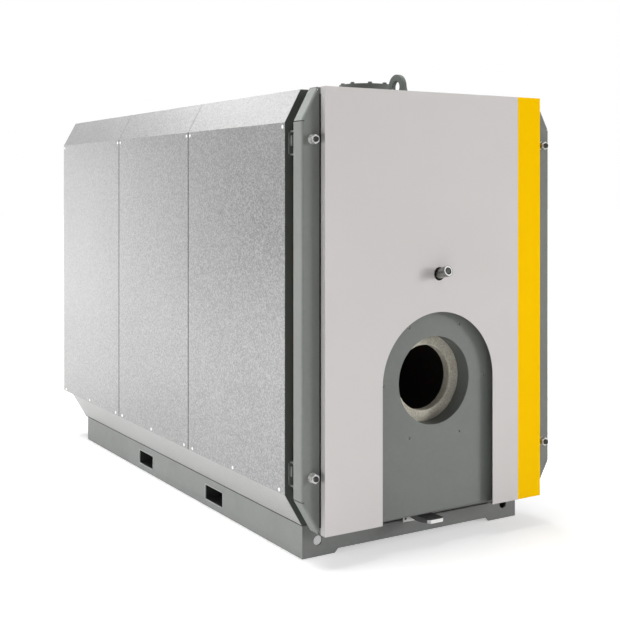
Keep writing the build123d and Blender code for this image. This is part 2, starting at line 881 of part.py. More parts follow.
def all_nodes():
    """Every node of the boiler by name, each as one solid or a list of solids."""
    spans = dict(zip(("front", "middle", "rear"), panel_spans()))
    front_beam = cross_beam()
    turned = mirror(front_beam, about=Plane.XZ)
    nodes = {
        "base_beam_right": side_beam(),
        "base_beam_left": mirrored(side_beam()),
        "base_beam_front": front_beam,
        "base_beam_rear": Pos(0, base_length, 0) * turned,
        "fork_pocket_front": fork_pocket(pocket_centres[0]),
        "fork_pocket_rear": fork_pocket(pocket_centres[1]),
        "vessel_saddles": saddles(),
        "door_rest": door_rest(),
        "vessel_shell": vessel_shell(),
        "front_tube_plate": front_tube_plate(),
        "rear_tube_plate": rear_tube_plate(),
        "furnace_tube": furnace_tube(),
        "furnace_end": furnace_end(),
        "smoke_tubes": smoke_tubes(),
        "smoke_box": smoke_box(),
        "flue_spigot": flue_spigot(),
        "supply_flange": water_flange(connection_places[0]),
        "return_flange": water_flange(connection_places[1]),
        "supply_cover": flange_cover(connection_places[0]),
        "return_cover": flange_cover(connection_places[1]),
        "lifting_lugs": [lifting_lug(y) for y in lug_places],
        "insulation": insulation(),
        "front_frame": front_frame(),
        "skirt_left": side_skirt(),
        "skirt_right": mirrored(side_skirt()),
        "rear_panel": rear_panel(),
        "rear_underside": rear_underside(),
        "hinge_brackets_left": [hinge_bracket(z) for z in hinge_heights],
        "hinge_brackets_right": [mirrored(hinge_bracket(z)) for z in hinge_heights],
        "hinge_pins": [hinge_pin(z) for z in hinge_heights],
        "door_pan": door_pan(),
        "door_lining": door_lining(),
        "burner_sleeve": burner_sleeve(),
        "throat_ring": throat_ring(),
        "door_seal": door_seal(),
        "front_cover": front_cover(),
        "cover_stripe": cover_stripe(),
        "sight_tube": sight_tube(),
        "sight_glass": sight_glass(),
        "hinge_knuckles": [hinge_knuckle(z) for z in hinge_heights],
        "clamp_studs": [clamp_stud(x, z) for x, z in clamp_places()],
        "clamp_nuts": [clamp_nut(x, z) for x, z in clamp_places()],
    }
    for place, span in spans.items():
        nodes[f"side_panel_left_{place}"] = side_panel(span)
        nodes[f"side_panel_right_{place}"] = mirrored(side_panel(span))
        nodes[f"roof_panel_{place}"] = roof_panel(span)
    return nodes


def centred(nodes):
    """Moves the whole boiler so that the middle of its box's floor is the origin."""
    shapes = {
        name: Compound(piece) if isinstance(piece, list) else piece
        for name, piece in nodes.items()
    }
    box = Compound(list(shapes.values())).bounding_box()
    shift = Pos(-box.center().X, -box.center().Y, -box.min.Z)
    return {name: shift * shape for name, shape in shapes.items()}


def main():
    os.makedirs("parts", exist_ok=True)
    for name, shape in centred(all_nodes()).items():
        export_step(shape, f"parts/{name}.step")


if __name__ == "__main__":
    main()
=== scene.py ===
import json
import math

import bmesh
import bpy
from mathutils import Matrix, Vector, noise


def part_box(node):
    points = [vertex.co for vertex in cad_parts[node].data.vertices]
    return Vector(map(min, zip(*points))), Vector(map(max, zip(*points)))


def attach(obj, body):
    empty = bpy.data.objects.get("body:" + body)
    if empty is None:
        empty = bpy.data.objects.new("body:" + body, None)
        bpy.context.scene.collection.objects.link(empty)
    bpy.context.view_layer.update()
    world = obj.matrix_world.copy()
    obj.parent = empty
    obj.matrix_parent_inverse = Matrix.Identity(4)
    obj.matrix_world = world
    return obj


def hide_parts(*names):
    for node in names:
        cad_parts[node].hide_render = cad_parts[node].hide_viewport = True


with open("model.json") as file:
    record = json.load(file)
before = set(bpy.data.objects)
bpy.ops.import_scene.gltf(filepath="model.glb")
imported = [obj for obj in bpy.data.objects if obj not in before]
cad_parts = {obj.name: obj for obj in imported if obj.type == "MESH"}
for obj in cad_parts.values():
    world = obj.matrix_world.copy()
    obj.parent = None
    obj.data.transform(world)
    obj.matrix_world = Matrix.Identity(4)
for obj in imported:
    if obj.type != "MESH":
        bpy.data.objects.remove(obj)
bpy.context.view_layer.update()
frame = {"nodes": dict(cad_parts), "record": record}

# Looks of the boiler: a finish for every part of the frame, the small pieces that the frame leaves out
# or has in a plain form, black strips of painted shade in its gaps, the studio and the camera. Lengths
# are in metres, with X from the left to the right and Y from the front to the back.

# Photograph's frame and camera
IMAGE_SIZE = 620
FOCAL_PIXELS = 1085.13
HORIZON_PIXEL = 189.84
SENSOR_WIDTH = 36.0
CAMERA_PLACE = (-3.0352, -5.3760, 1.6)
CAMERA_TURN = 31.51

# Casing: its sides and the way that each faces, the places of its panels, and the drop of the bevel
# between roof and side
SIDES = (("left", -1), ("right", 1))
PLACES = ("front", "middle", "rear")
ROOF_BEVEL_DROP = 0.146

# Casing screws: the head, its cross recess, and the rows that they stand in
SCREW_RADIUS = 0.0082
SCREW_HEIGHT = 0.0028
SCREW_ROOT = 0.0007
SCREW_CURVE = [math.radians(angle) for angle in (0, 25, 45, 62, 77)]
RECESS_REACH = 0.0042
RECESS_WIDTH = 0.0013
RECESS_FLOOR = SCREW_HEIGHT / 3
LOW_ROW_RISE = 0.014
TOP_ROW_DROP = 0.018
LOW_ROW_MARGIN = 0.048
TOP_ROW_MARGIN = 0.018
ROOF_ROW_MARGIN = 0.030
REAR_ROW_INSET = 0.022
REAR_ROW_PITCH = 0.29

# Hexagon heads and nuts: width of the turned face and of the turned blank, as shares of the
# hexagon's widths across flats and across corners, and the slope between them
HEXAGON_FACE = 0.96
HEXAGON_BLANK = 1.02
HEXAGON_SLOPE = math.radians(30)

# Bolts of the water flanges
BOLT_CIRCLE = 0.1125
BOLT_COUNT = 8
BOLT_ACROSS = 0.018
BOLT_HEAD = 0.0065
BOLT_NUT = 0.00845
BOLT_RADIUS = 0.006
BOLT_WASHER_RADIUS = 0.0125
BOLT_WASHER = 0.0022
BOLT_TIP = 0.006
BOLT_TIP_RADIUS = 0.0051
BOLT_CHAMFER = 0.001
BOLT_SHANK = 0.018
FLANGE_THICKNESS = 0.020

# Clamp studs and nuts of the door
NUT_ACROSS = 0.036
NUT_HEIGHT = 0.024
NUT_BORE_DEPTH = 0.05
WASHER_RADIUS = 0.021
WASHER_HEIGHT = 0.006
WASHER_EDGE = 0.0008
STUD_RADIUS = 0.012
THREAD_PITCH = 0.003
THREAD_DEPTH = 0.0013

# Ring and gasket at the end of the sight tube
SIGHT_TILT = math.radians(15)
SIGHT_GLASS_THICKNESS = 0.006
BEZEL_INNER = 0.0160
BEZEL_OUTER = 0.0223
BEZEL_RISE = 0.0018
BEZEL_EDGE = 0.0006
GASKET_INNER = 0.0125
GASKET_RISE = 0.0008

# Throat ring: its bore, its rounded mouth and the steps along its cast faces
THROAT_RADIUS = 0.149
THROAT_MOUTH = 0.005
MOUTH_ARC = [math.radians(angle) for angle in (30, 60, 90)]
THROAT_FACE_STEPS = 16
THROAT_WALL_STEPS = 8
THROAT_TURN_STEPS = 160

# Cast face of the throat ring: features a metre, the octaves' dimension, gap and count, the depth of
# the grain, how far the face is lifted, and the width of the rim that stays plain
CAST_SCALE = 60
CAST_OCTAVES = (1.0, 2.0, 4)
CAST_DEPTH = 0.0009
CAST_LIFT = 0.0006
CAST_MARGIN = 1e-4

# Black strips of painted shade in the casing's seams
STRIP_WIDTH = 0.005
STRIP_RISE = 0.0005

# Black strips of painted shade in the joints between the skirts and the side beams
SKIRT_SHADE_RISE = 0.0006
SKIRT_SHADE_DEPTH = 0.006
SKIRT_SHADE_HEIGHT = 0.0048
SKIRT_SHADE_LAP = 0.0015
SKIRT_SHADE_END = 0.001

# Black strips of painted shade beside the front cover
COVER_SHADE_WIDTH = 0.005
COVER_SHADE_RISE = 0.004
COVER_SHADE_END = 0.030

# Meshes: steps of a turned shape, the angle above which an edge is a hard one, and the matrix of a
# mesh that is made where it belongs
ROUND_STEPS = 48
SMALL_STEPS = 24
SMOOTH_ANGLE = math.radians(35)
IN_PLACE = Matrix.Identity(4)

# How far the hard edges of parts are rounded, with the starts of the parts' names
EDGE_ROUNDING = {
    0.0009: ("side_panel", "roof_panel", "skirt", "rear_panel", "rear_underside", "front_cover",
             "cover_stripe"),
    0.0010: ("fork_pocket", "hinge_brackets", "front_frame"),
    0.0012: ("door_rest",),
    0.0014: ("base_beam",),
    0.0015: ("lifting_lugs",),
}
EDGE_STEPS = 2
WELD_REACH = 1e-5

# Range that most of a noise lies in
NOISE_RANGE = (0.3, 0.7)

# Sockets of a colour mix: its two colours and its result
MIX_COLOURS = slice(6, 8)
MIX_RESULT = 2

# Paint: how much it mirrors, and the coats that more than one finish has
PAINT_GLOSS = 0.22
COVER_GLOSS = 0.12
STRIPE_GLOSS = 0.02
SMOOTH_COAT = {"roughness": 0.4, "peel": 0.06}
BRIGHT_COAT = {"mottle": 0.02, "peel": 0.05, "gloss": 0.5}

# Fork pockets: how far in from the mouth the painted shade begins, and its colour inside the pocket
POCKET_SHADE_REACH = 0.004
POCKET_PAINTED_SHADE = (0.03, 0.031, 0.03)

# Folded parts: painted shade on the sides, as a share of the full tone, and how squarely a face looks
# forward where the painted shade sets in
COVER_PAINTED_SIDE_SHADE = 0.62
REST_PAINTED_SIDE_SHADE = 0.12
PAINTED_SHADE_TURN = (0.3, 0.9)

# Brightness of the surroundings by themselves and in mirroring faces
WHITE = (1, 1, 1, 1)
WORLD_LEVEL = 0.23
GLOSS_LEVEL = 0.88

# Floor, and its glow: in mirroring faces behind the object, and to the camera by the distance
FLOOR_REACH = 60
FLOOR_DROP = 0.001
FLOOR_GREY = (0.86, 0.86, 0.86)
FLOOR_ROUGHNESS = 0.9
MIRROR_GLOW = 1.0
MIRROR_GLOW_SPAN = (1.0, 5.0)
CAMERA_GLOW = (0.45, 0.9)
CAMERA_GLOW_SPAN = (2.5, 8.0)

# Dark screen: its spans in x, y and z
SCREEN = ((-10.0, -4.7), (8.5, 8.6), (0.0, 2.3))
SCREEN_GREY = (0.02, 0.02, 0.02)

# Lights: name, place, target, width and height, and watts
LIGHTS = (
    ("key_light", (15.0, -13.0, 3.8), (0, -1.2, 1.0), (5.4, 5.4), 2240),
    ("side_light", (-7.5, -0.5, 0.7), (-0.7, 0.0, 0.4), (6.0, 1.4), 318),
    ("top_light", (-1.0, 0.5, 7.0), (0, 0.2, 1.0), (5.0, 5.0), 655),
    ("rear_card", (-3.1, 8.4, 1.2), (-0.7, 0.6, 1.0), (2.8, 2.4), 29),
    ("rear_light", (-2.5, 8.0, 6.75), (-0.5, 0.0, 1.9), (5.0, 2.0), 75),
)

# Lights that no surface mirrors
MATT_LIGHTS = ("key_light", "top_light")


def linear(red, green, blue):
    """A colour of 0 to 255 a channel, as the shader wants it."""
    channels = [value / 255 for value in (red, green, blue)]
    return tuple(c / 12.92 if c <= 0.04045 else ((c + 0.055) / 1.055) ** 2.4 for c in channels)


class Nodes:
    """Short calls for the nodes of a shader tree."""

    def __init__(self, tree):
        self.tree = tree

    def put(self, socket, value):
        """Links another node's socket to an input, or sets the input to a plain value."""
        if isinstance(value, bpy.types.NodeSocket):
            self.tree.links.new(value, socket)
        else:
            socket.default_value = value

    def node(self, kind, inputs=(), **settings):
        """A new node with its settings, and with its inputs by name or number."""
        made = self.tree.nodes.new(kind)
        for key, value in settings.items():
            setattr(made, key, value)
        for key, value in dict(inputs).items():
            self.put(made.inputs[key], value)
        return made

    def span(self, value, low, high, start=0.0, end=1.0, curve="LINEAR"):
        """A value mapped from start..end to low..high."""
        inputs = {"Value": value, "From Min": start, "From Max": end, "To Min": low, "To Max": high}
        return self.node("ShaderNodeMapRange", inputs, interpolation_type=curve).outputs["Result"]

    def maths(self, operation, first, second=0.0):
        inputs = {0: first, 1: second}
        return self.node("ShaderNodeMath", inputs, operation=operation).outputs["Value"]

    def along(self, vector, axis):
        """One coordinate of a vector."""
        return self.node("ShaderNodeSeparateXYZ", {"Vector": vector}).outputs[axis]


class Finish(Nodes):
    """A procedural material, whose flat colour and roughness show where no node changes them."""

    def __init__(self, name, colour, roughness, metallic=0.0):
        self.material = bpy.data.materials.new(name)
        self.material.use_nodes = True
        super().__init__(self.material.node_tree)
        self.shader = self.tree.nodes["Principled BSDF"]
        self.colour = colour
        self.set("Base Color", (*colour, 1))
        self.set("Roughness", roughness)
        self.set("Metallic", metallic)
        coordinates = self.node("ShaderNodeTexCoord").outputs
        self.place = coordinates["Object"]
        self.facing = coordinates["Normal"]

    def set(self, name, value):
        """Gives an input of the shader a plain value or another node's socket."""
        self.put(self.shader.inputs[name], value)

    def noise(self, scale, detail, stretch=None, distortion=0.0):
        """Noise from 0 to 1, with a scale in features a metre."""
        place = self.place
        if stretch:
            place = self.node("ShaderNodeMapping", {"Vector": place, "Scale": stretch}).outputs["Vector"]
        inputs = {"Vector": place, "Scale": scale, "Detail": detail, "Distortion": distortion}
        return self.node("ShaderNodeTexNoise", inputs).outputs["Fac"]

    def clouds(self, scale, detail, low, high):
        """Noise that wanders between about low and high."""
        return self.span(self.noise(scale, detail), low, high, *NOISE_RANGE)

    def cells(self, scale):
        """A random grey for each cell, with a scale in cells a metre."""
        cell = self.node("ShaderNodeTexVoronoi", {"Vector": self.place, "Scale": scale})
        return self.node("ShaderNodeSeparateColor", {"Color": cell.outputs["Color"]}).outputs["Red"]

    def mix(self, factor, first, second):
        """Colour between two colours or colour sockets."""
        made = self.node("ShaderNodeMix", {"Factor": factor}, data_type="RGBA")
        for socket, value in zip(made.inputs[MIX_COLOURS], (first, second)):
            self.put(socket, value if isinstance(value, bpy.types.NodeSocket) else (*value, 1))
        return made.outputs[MIX_RESULT]

    def shade(self, factor, colour=None):
        """The finish's colour, or another one, made lighter or darker by a factor."""
        inputs = {0: colour or self.colour, "Scale": factor}
        return self.node("ShaderNodeVectorMath", inputs, operation="SCALE").outputs["Vector"]

    def bump(self, height, strength, distance):
        inputs = {"Height": height, "Strength": strength, "Distance": distance}
        self.set("Normal", self.node("ShaderNodeBump", inputs).outputs["Normal"])


def satin(name, colour, roughness=0.45, peel=0.12, gloss=PAINT_GLOSS):
    """Satin paint on steel in one even tone, with dust that dulls it and a fine orange peel."""
    finish = Finish(name, colour, roughness)
    dust = finish.clouds(scale=9.0, detail=5.0, low=roughness - 0.07, high=roughness + 0.09)
    finish.set("Roughness", dust)
    finish.set("Specular IOR Level", gloss)
    finish.bump(finish.noise(scale=620.0, detail=2.0), strength=peel, distance=0.0004)
    return finish


def paint(name, colour, mottle=0.05, **coat):
    """Satin paint with slow and fine changes of tone."""
    finish = satin(name, colour, **coat)
    slow = finish.clouds(scale=1.7, detail=4.0, low=1 - mottle, high=1 + mottle)
    fine = finish.clouds(scale=45.0, detail=4.0, low=1 - mottle / 2, high=1 + mottle / 2)
    finish.set("Base Color", finish.shade(finish.maths("MULTIPLY", slow, fine)))
    return finish


def paint_with_painted_side_shade(name, colour, mottle, painted_side_shade, **coat):
    """Satin paint that is full in tone on front and back faces, with painted shade darkening the sides."""
    finish = satin(name, colour, **coat)
    slow = finish.clouds(scale=1.7, detail=4.0, low=1 - mottle, high=1 + mottle)
    # Painted shade: faces that look neither forward nor back are darkened
    forward = finish.maths("ABSOLUTE", finish.along(finish.facing, "Y"))
    start, end = PAINTED_SHADE_TURN
    sides = finish.span(forward, low=painted_side_shade, high=1.0, start=start, end=end)
    finish.set("Base Color", finish.shade(finish.maths("MULTIPLY", slow, sides)))
    return finish


def pocket_with_painted_shade(name, colour):
    """Paint on the mouth of a fork pocket, a lighter grey than the skid's, with painted shade inside: near
    black a few millimetres in.
    """
    finish = satin(name, colour)
    outward = finish.maths("ABSOLUTE", finish.along(finish.place, "X"))
    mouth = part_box("fork_pocket_front")[1].x
    # Painted shade inside the pocket, fading in towards the mouth
    inner = mouth - POCKET_SHADE_REACH * 2
    unshaded = finish.span(outward, low=0.0, high=1.0, start=inner, end=mouth - POCKET_SHADE_REACH)
    finish.set("Base Color", finish.mix(unshaded, POCKET_PAINTED_SHADE, colour))
    return finish


def coated_sheet(name, colour, metallic=0.85, grain=1.0):
    """Zinc-aluminium coated sheet: small crystals that differ in tone, gloss and tilt."""
    finish = Finish(name, colour, roughness=0.36, metallic=metallic)
    crystals = finish.cells(scale=150.0)
    small = finish.cells(scale=330.0)
    coarse = finish.span(crystals, low=-0.22 * grain, high=0.22 * grain)
    fine = finish.span(small, low=-0.16 * grain, high=0.16 * grain)
    drift = finish.clouds(scale=1.3, detail=3.0, low=0.97, high=1.03)
    tone = finish.maths("ADD", finish.maths("ADD", coarse, fine), drift)
    finish.set("Base Color", finish.shade(tone))
    finish.set("Roughness", finish.span(crystals, low=0.32, high=0.41))
    finish.bump(finish.maths("ADD", crystals, small), strength=0.06 * grain, distance=0.0004)
    return finish


def zinc_plate(name, colour, metallic=1.0):
    """Zinc plate on fasteners and fittings: a metal with faint stains."""
    finish = Finish(name, colour, roughness=0.28, metallic=metallic)
    finish.set("Base Color", finish.shade(finish.clouds(scale=55.0, detail=4.0, low=0.80, high=1.06)))
    finish.set("Roughness", finish.clouds(scale=140.0, detail=3.0, low=0.22, high=0.40))
    finish.bump(finish.noise(scale=900.0, detail=2.0), strength=0.08, distance=0.0003)
    return finish


def refractory(name, colour):
    """Cast refractory concrete: sandy grains, pores and a warm stain."""
    finish = Finish(name, colour, roughness=0.93)
    grains = finish.span(finish.cells(scale=300.0), low=0.74, high=1.18)
    cloud = finish.clouds(scale=14.0, detail=5.0, low=0.88, high=1.10)
    holes = finish.noise(scale=230.0, detail=3.0)
    pores = finish.span(holes, low=0.55, high=1.0, start=0.30, end=0.40)
    tone = finish.maths("MULTIPLY", finish.maths("MULTIPLY", grains, cloud), pores)
    stained = finish.mix(finish.noise(scale=6.0, detail=4.0), colour, linear(200, 194, 176))
    finish.set("Base Color", finish.shade(tone, stained))
    uneven = finish.maths("ADD", finish.noise(scale=150.0, detail=6.0), pores)
    finish.bump(uneven, strength=0.55, distance=0.0018)
    return finish


def mineral_fibre(name, colour):
    """Felted mineral fibre, with strands drawn out from the front to the back."""
    finish = Finish(name, colour, roughness=0.95)
    strands = finish.noise(scale=160.0, detail=6.0, stretch=(1.0, 0.25, 1.0), distortion=1.5)
    tone = finish.span(strands, low=0.75, high=1.15, start=0.25, end=0.75)
    finish.set("Base Color", finish.shade(tone))
    finish.bump(strands, strength=0.7, distance=0.002)
    return finish


def fired_steel(name, colour):
    """Bare vessel steel inside the boiler: mill scale, a film of soot and some rust bloom."""
    finish = Finish(name, colour, roughness=0.62, metallic=0.25)
    mill_scale = finish.noise(scale=7.0, detail=6.0, distortion=0.6)
    sooty = tuple(0.72 * channel for channel in colour)
    worn = tuple(1.25 * channel for channel in colour)
    rust = finish.noise(scale=18.0, detail=6.0)
    bloom = finish.span(rust, low=0.0, high=1.0, start=0.52, end=0.68)
    finish.set("Base Color", finish.mix(bloom, finish.mix(mill_scale, sooty, worn), linear(112, 82, 62)))
    finish.set("Roughness", finish.span(mill_scale, 0.5, 0.78, *NOISE_RANGE))
    finish.bump(finish.noise(scale=210.0, detail=5.0), strength=0.30, distance=0.0008)
    return finish


def rolled_steel(name, colour):
    """Plain rolled sheet steel of the flue spigot, with faint marks round it."""
    finish = Finish(name, colour, roughness=0.42, metallic=0.85)
    marks = finish.noise(scale=60.0, detail=3.0, stretch=(1.0, 8.0, 1.0))
    finish.set("Base Color", finish.shade(finish.span(marks, 0.88, 1.08, *NOISE_RANGE)))
    finish.set("Roughness", finish.clouds(scale=11.0, detail=4.0, low=0.34, high=0.55))
    finish.bump(marks, strength=0.08, distance=0.0004)
    return finish


def furnace_glass(name, colour):
    """Dusty sight glass."""
    finish = Finish(name, colour, roughness=0.12)
    dust = finish.noise(scale=240.0, detail=4.0)
    tone = finish.span(dust, low=0.8, high=1.35, start=0.35, end=0.7)
    finish.set("Base Color", finish.shade(tone))
    finish.set("Roughness", finish.span(dust, low=0.08, high=0.35, start=0.35, end=0.7))
    return finish


# Finish of each slot
FINISHES = {
    "skid_paint": paint("skid_paint", linear(132, 134, 132)),
    "casing_sheet": coated_sheet("casing_sheet", linear(157, 157, 157)),
    # Front frame: a darker grey than the door, which is painted shade for the shaded gap behind the door
    # where the ring sits
    "frame_paint": paint("frame_paint", linear(88, 92, 88), roughness=0.5),
    "fitting_paint": paint("fitting_paint", linear(108, 112, 108), roughness=0.5),
    "hinge_paint": paint("hinge_paint", linear(104, 108, 104)),
    # Mineral fibre: its dark tone is painted shade for the casing's seams, where it shows behind the sheets
    "mineral_fibre": mineral_fibre("mineral_fibre", linear(74, 70, 62)),
    "refractory": refractory("refractory", linear(214, 210, 198)),
    "door_paint": paint("door_paint", linear(124, 127, 124)),
    # Front cover: its folded sides carry painted shade
    "cover_paint": paint_with_painted_side_shade("cover_paint", linear(211, 207, 206), mottle=0.01, painted_side_shade=COVER_PAINTED_SIDE_SHADE,
                                gloss=COVER_GLOSS, **SMOOTH_COAT),
    "stripe_paint": paint("stripe_paint", linear(255, 201, 1), mottle=0.012, gloss=STRIPE_GLOSS,
                          **SMOOTH_COAT),
    "zinc_steel": zinc_plate("zinc_steel", linear(150, 149, 146)),
    "sight_glass": furnace_glass("sight_glass", linear(80, 81, 81)),
    "spigot_steel": rolled_steel("spigot_steel", linear(178, 178, 176)),
    "vessel_steel": fired_steel("vessel_steel", linear(88, 84, 82)),
}

# Parts whose look differs from the rest of their slot, by the start of their name
PART_FINISHES = {
    # Skirts: a lighter, less metallic copy of the casing sheet; the extra brightness is painted reflection
    # of the pale floor that the lower bevel faces
    "skirt": coated_sheet("skirt_sheet_painted_reflection", linear(171, 171, 170), metallic=0.35, grain=0.4),
    "fork_pocket": pocket_with_painted_shade("pocket_with_painted_shade", linear(176, 178, 176)),
    # Door rest: white on faces that look forward or back, and near black on its top and sides, which is
    # painted shade for the shade under the door
    "door_rest": paint_with_painted_side_shade("rest_paint", linear(250, 250, 248), mottle=0.03, painted_side_shade=REST_PAINTED_SIDE_SHADE,
                              roughness=0.4, peel=0.05),
    "burner_sleeve": paint("sleeve_paint", linear(104, 107, 104)),
}

# Finishes of the small pieces
# Casing screws: near-white matt paint, which is a painted highlight for the glints on their domed heads
SCREW_PAINTED_HIGHLIGHT = paint("screw_painted_highlight", linear(238, 238, 236), roughness=0.35, **BRIGHT_COAT)
RING_ZINC = paint("ring_zinc", linear(250, 250, 248), roughness=0.3, **BRIGHT_COAT)
NUT_ZINC = zinc_plate("nut_zinc", linear(222, 222, 219), metallic=0.8)
DARK_STEEL = zinc_plate("dark_steel", linear(72, 72, 72))
# Black: rubber on the sight gasket, and painted shade on the strips beside the cover, in the side seams and
# above the side beams
BLACK_RUBBER_AND_PAINTED_SHADE = paint("black_rubber_and_painted_shade", linear(34, 34, 34), roughness=0.7, peel=0.05, gloss=0.1)


def dress_frame():
    """Gives each part of the frame its finish and rounds the edges that catch the light."""
    slots = {part["node"]: part["material_slot"] for part in frame["record"]["subparts"]}
    for name, part in frame["nodes"].items():
        own = [finish for start, finish in PART_FINISHES.items() if name.startswith(start)]
        finish = own[0] if own else FINISHES[slots[name]]
        part.data.materials.clear()
        part.data.materials.append(finish.material)
        for width, starts in EDGE_ROUNDING.items():
            if name.startswith(starts):
                round_edges(part, width)


def round_edges(part, width):
    """Rounds the hard edges of a part, and keeps its large faces flat in the light."""
    weld = part.modifiers.new("weld", "WELD")
    weld.merge_threshold = WELD_REACH
    bevel = part.modifiers.new("rounding", "BEVEL")
    bevel.width = width
    bevel.segments = EDGE_STEPS
    bevel.limit_method = "ANGLE"
    bevel.angle_limit = SMOOTH_ANGLE
    bevel.harden_normals = True
    weighted = part.modifiers.new("flat_faces", "WEIGHTED_NORMAL")
    weighted.keep_sharp = True


def linked(name, data):
    """A new object in the scene."""
    made = bpy.data.objects.new(name, data)
    bpy.context.scene.collection.objects.link(made)
    return made


def to_mesh(made, name):
    """A finished mesh from one under construction, which is freed."""
    mesh = bpy.data.meshes.new(name)
    made.to_mesh(mesh)
    made.free()
    return mesh


def lathe(profile, steps=ROUND_STEPS, closed=False):
    """Mesh turned round Z from (radius, height) pairs; a radius of 0 is a point on the axis."""
    made = bmesh.new()
    turns = [math.tau * step / steps for step in range(steps)]
    rings = []
    for radius, height in profile:
        spots = [(radius * math.cos(turn), radius * math.sin(turn), height) for turn in turns]
        rings.append([made.verts.new(spot) for spot in (spots if radius else spots[:1])])
    pairs = list(zip(rings, rings[1:]))
    if closed:
        pairs.append((rings[-1], rings[0]))
    for low, high in pairs:
        for step in range(steps):
            sides = ((low, step), (low, step + 1), (high, step + 1), (high, step))
            corners = [ring[place % len(ring)] for ring, place in sides]
            made.faces.new(list(dict.fromkeys(corners)))
    bmesh.ops.recalc_face_normals(made, faces=made.faces)
    return made


def prism(corners, low, high):
    """Mesh with a flat outline, from one height to another."""
    made = bmesh.new()
    bottom = made.faces.new([made.verts.new((x, y, low)) for x, y in corners])
    lifted = bmesh.ops.extrude_face_region(made, geom=[bottom])["geom"]
    moved = [item for item in lifted if isinstance(item, bmesh.types.BMVert)]
    bmesh.ops.translate(made, verts=moved, vec=(0, 0, high - low))
    bmesh.ops.recalc_face_normals(made, faces=made.faces)
    return made


def block(xs, ys, zs, name):
    """Mesh of a block, from its spans in x, y and z."""
    corners = [(xs[0], ys[0]), (xs[1], ys[0]), (xs[1], ys[1]), (xs[0], ys[1])]
    return to_mesh(prism(corners, *zs), name)


def hexagon(across):
    """Corners of a hexagon, two of which lie on the Y axis."""
    radius = across / math.sqrt(3)
    turns = [math.pi / 2 + math.tau * step / 6 for step in range(6)]
    return [(radius * math.cos(turn), radius * math.sin(turn)) for turn in turns]


def combined(first, second, operation, name):
    """Mesh of the first mesh, cut by or kept inside the second."""
    kept = linked(name + "_a", first)
    tool = linked(name + "_b", second)
    cut = kept.modifiers.new("cut", "BOOLEAN")
    cut.object = tool
    cut.operation = operation
    cut.solver = "EXACT"
    graph = bpy.context.evaluated_depsgraph_get()
    mesh = bpy.data.meshes.new_from_object(kept.evaluated_get(graph))
    mesh.name = name
    for made in (kept, tool):
        bpy.data.objects.remove(made)
    return mesh


def chamfered_hexagon(across, low, high, name, nut=True):
    """Hexagon nut with its corners turned off above and below, or a head, above only."""
    edge = across / 2 * HEXAGON_FACE
    wide = across / math.sqrt(3) * HEXAGON_BLANK
    fall = (wide - edge) * math.tan(HEXAGON_SLOPE)
    foot = [(edge, low), (wide, low + fall)] if nut else [(wide, low)]
    profile = [(0, low), *foot, (wide, high - fall), (edge, high), (0, high)]
    blank = to_mesh(prism(hexagon(across), low, high), name + "_blank")
    turned = to_mesh(lathe(profile), name + "_turned")
    return combined(blank, turned, "INTERSECT", name)


def placed(point, direction):
    """Matrix that stands a prototype's Z along a direction, at a point."""
    turn = Vector(direction).to_track_quat("Z", "Y").to_matrix().to_4x4()
    return Matrix.Translation(point) @ turn


def piece(name, prototypes, body, slot, finish=None):
    """One mesh object from (prototype mesh, matrix) pairs, riding on a body.

    It has the finish of its slot, unless it is given another.
    """
    built = bmesh.new()
    for prototype, matrix in prototypes:
        start = len(built.verts)
        built.from_mesh(prototype)
        built.verts.ensure_lookup_table()
        bmesh.ops.transform(built, matrix=matrix, verts=built.verts[start:])
    mesh = to_mesh(built, name)
    mesh.shade_smooth()
    mesh.set_sharp_from_angle(angle=SMOOTH_ANGLE)
    mesh.materials.append((finish or FINISHES[slot]).material)
    made = linked(name, mesh)
    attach(made, body)
    return made


def side_bends():
    """Heights of the folds at the bottom and the top of the casing's sides."""
    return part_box("rear_panel")[0].z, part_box("roof_panel_front")[1].z - ROOF_BEVEL_DROP


def casing_screws():
    """Screws along the top and bottom of the side panels, by the roof seams and round the back."""
    head = screw_head()
    spots = side_screws() + roof_screws() + rear_screws()
    pairs = [(head, placed(point, out)) for point, out in spots]
    piece("casing_screws", pairs, "boiler", "zinc_steel", SCREW_PAINTED_HIGHLIGHT)


def screw_head():
    """Pan head with a cross recess, standing on z = 0."""
    curve = [(SCREW_RADIUS * math.cos(angle), SCREW_HEIGHT * math.sin(angle)) for angle in SCREW_CURVE]
    profile = [(0, -SCREW_ROOT), (SCREW_RADIUS, -SCREW_ROOT), *curve, (0, SCREW_HEIGHT)]
    head = to_mesh(lathe(profile, SMALL_STEPS), "screw_blank")
    arm = RECESS_REACH
    half = RECESS_WIDTH / 2
    quarter = ((arm, half), (half, half), (half, arm))
    turns = ((1, 0), (0, 1), (-1, 0), (0, -1))
    cross = [(x * cos - y * sin, x * sin + y * cos) for cos, sin in turns for x, y in quarter]
    tool = to_mesh(prism(cross, RECESS_FLOOR, SCREW_HEIGHT * 2), "screw_tool")
    return combined(head, tool, "DIFFERENCE", "screw")


def side_screws():
    """Places and directions of the screws in the side panels."""
    low_bend, top_bend = side_bends()
    spots = []
    for side, direction in SIDES:
        for place in PLACES:
            low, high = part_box(f"side_panel_{side}_{place}")
            x = low.x if direction < 0 else high.x
            for y in (low.y + LOW_ROW_MARGIN, (low.y + high.y) / 2, high.y - LOW_ROW_MARGIN):
                spots.append(((x, y, low_bend + LOW_ROW_RISE), (direction, 0, 0)))
            for y in (low.y + TOP_ROW_MARGIN, high.y - TOP_ROW_MARGIN):
                spots.append(((x, y, top_bend - TOP_ROW_DROP), (direction, 0, 0)))
    return spots


